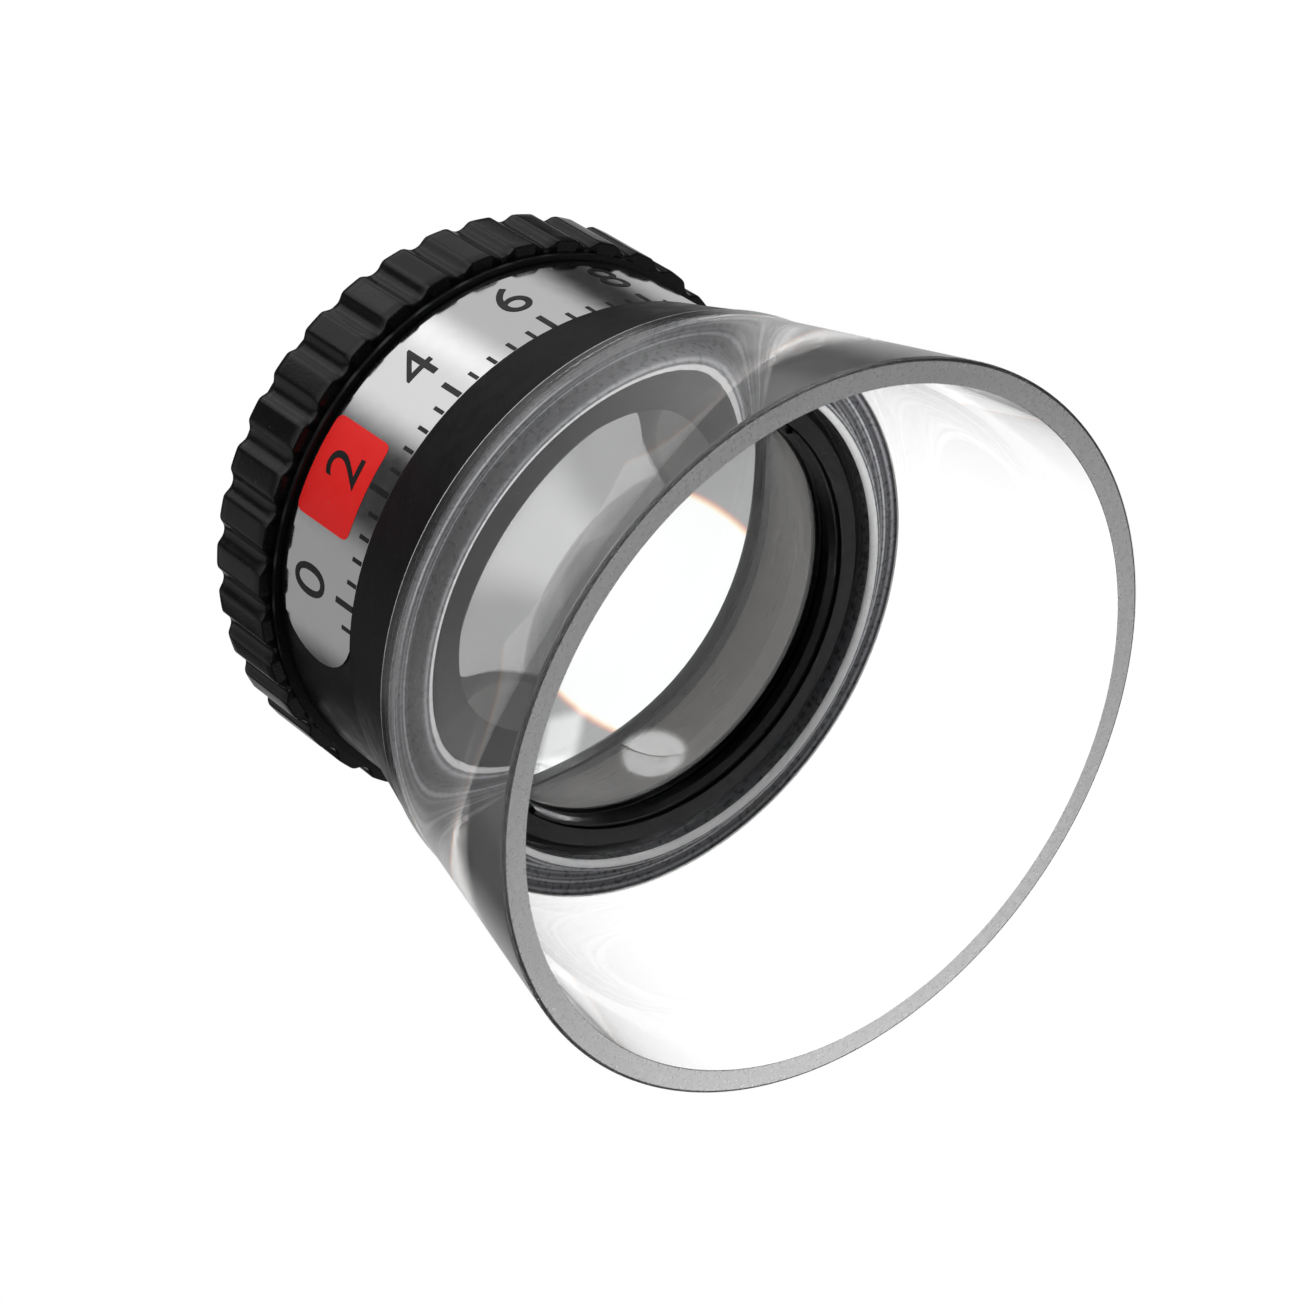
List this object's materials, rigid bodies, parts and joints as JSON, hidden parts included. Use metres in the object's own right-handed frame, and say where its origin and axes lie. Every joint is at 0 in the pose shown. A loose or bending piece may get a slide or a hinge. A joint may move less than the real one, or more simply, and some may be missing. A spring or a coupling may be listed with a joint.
{
  "type": "focusing eye loupe",
  "caption": "Short focusing magnifier: fluted eyepiece ring over a black barrel with a silver scale band, standing on a flared clear skirt",
  "frame": {"origin": "centre of the flat face of the clear skirt's rim, on which the loupe stands", "axes": "+Z along the optical axis from the rim to the eye; -Y is the side that the picture shows, with the round end of the silver foil to its left"},
  "size_m": [0.038, 0.038, 0.0323],
  "materials": {
    "clear_plastic": "clear moulded acrylic, cut rim face slightly frosted",
    "lens_glass": "polished optical glass",
    "black_satin": "satin black plastic",
    "black_moulded": "moulded black plastic with worn rib edges",
    "black_gloss": "gloss black plastic",
    "grey_satin": "grey satin turned sleeve",
    "silver_foil": "mirror-like silver foil with printed scale",
    "spring_steel": "bright spring wire",
    "felt": "greased felt",
    "shim": "matt black film"
  },
  "bodies": {
    "stand": {"clear_skirt": "clear_plastic", "barrel": "black_satin", "guide_ring": "black_gloss", "label_foil": "silver_foil", "damping_ring": "felt"},
    "stop": {"stop_ring": "spring_steel"},
    "eyepiece": {"lens_tube": "black_gloss", "focus_ring": "black_moulded", "eye_cap": "black_satin", "eye_lens_retainer": "black_gloss", "eye_lens": "lens_glass", "eye_lens_shim": "shim", "lens_spacer": "grey_satin", "field_lens": "lens_glass", "field_lens_shim": "shim", "field_lens_retainer": "black_gloss"}
  },
  "joints": [
    {"name": "focus_travel", "type": "slide", "parent": "stand", "child": "stop", "axis": [0, 0, 1], "range_m": [0, 0.0025]},
    {"name": "focus_turn", "type": "hinge", "parent": "stop", "child": "eyepiece", "pos_m": [0, 0, 0], "axis": [0, 0, 1], "range_deg": [0, 300]}
  ],
  "couplings": [
    {"joint": "focus_turn", "follows": "focus_travel", "rad_per_m": 2094.4}
  ]
}
